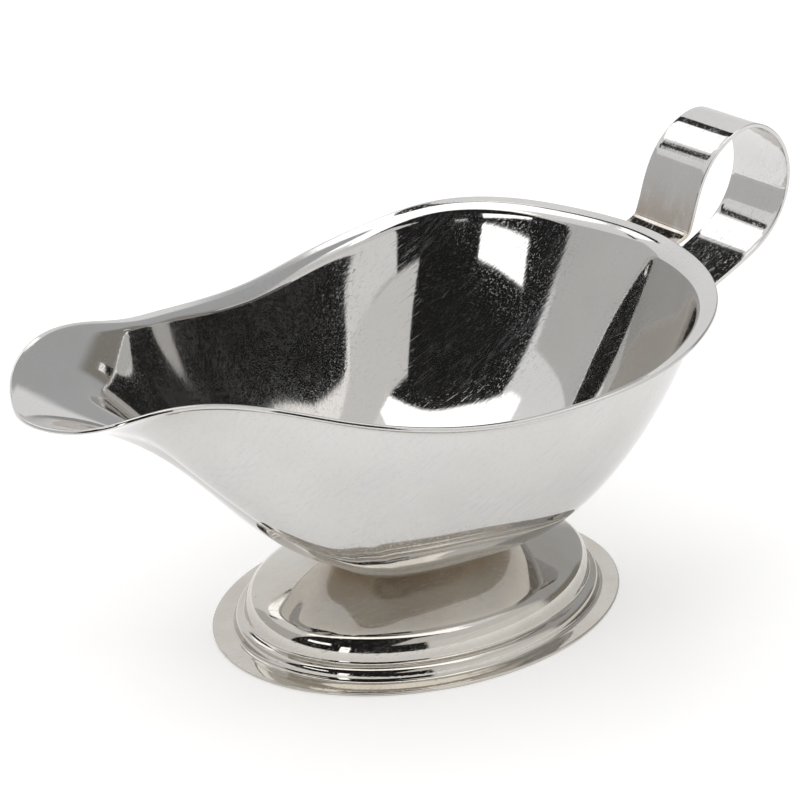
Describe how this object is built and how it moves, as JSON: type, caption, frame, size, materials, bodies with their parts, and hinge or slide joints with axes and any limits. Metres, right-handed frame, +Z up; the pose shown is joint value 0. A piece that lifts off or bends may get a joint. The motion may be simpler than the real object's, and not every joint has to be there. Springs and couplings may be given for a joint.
{
  "type": "gravy boat",
  "caption": "Footed gravy boat of mirror-polished sheet steel: pouring bowl with a broad spout, oval pedestal foot and a bent strap loop handle.",
  "frame": {"origin": "centre of the object's outline in plan, on the surface that the foot stands on", "axes": "+X from the spout towards the handle, +Z up, XZ is the plane of symmetry"},
  "size_m": [0.2036, 0.1116, 0.1012],
  "materials": {
    "bowl_steel": "mirror polish with fine wiping scratches",
    "foot_steel": "mirror polish, warm heat tint near the neck",
    "strap_steel": "bright polish with small dents and scratches",
    "braze_filler": "dull heat-tinted filler",
    "weld_metal": "dull weld metal"
  },
  "bodies": {
    "root": {"bowl": "bowl_steel", "pedestal_foot": "foot_steel", "handle_strap": "strap_steel", "foot_braze_seam": "braze_filler", "handle_upper_weld": "weld_metal", "handle_lower_weld_left": "weld_metal", "handle_lower_weld_right": "weld_metal"}
  },
  "joints": []
}
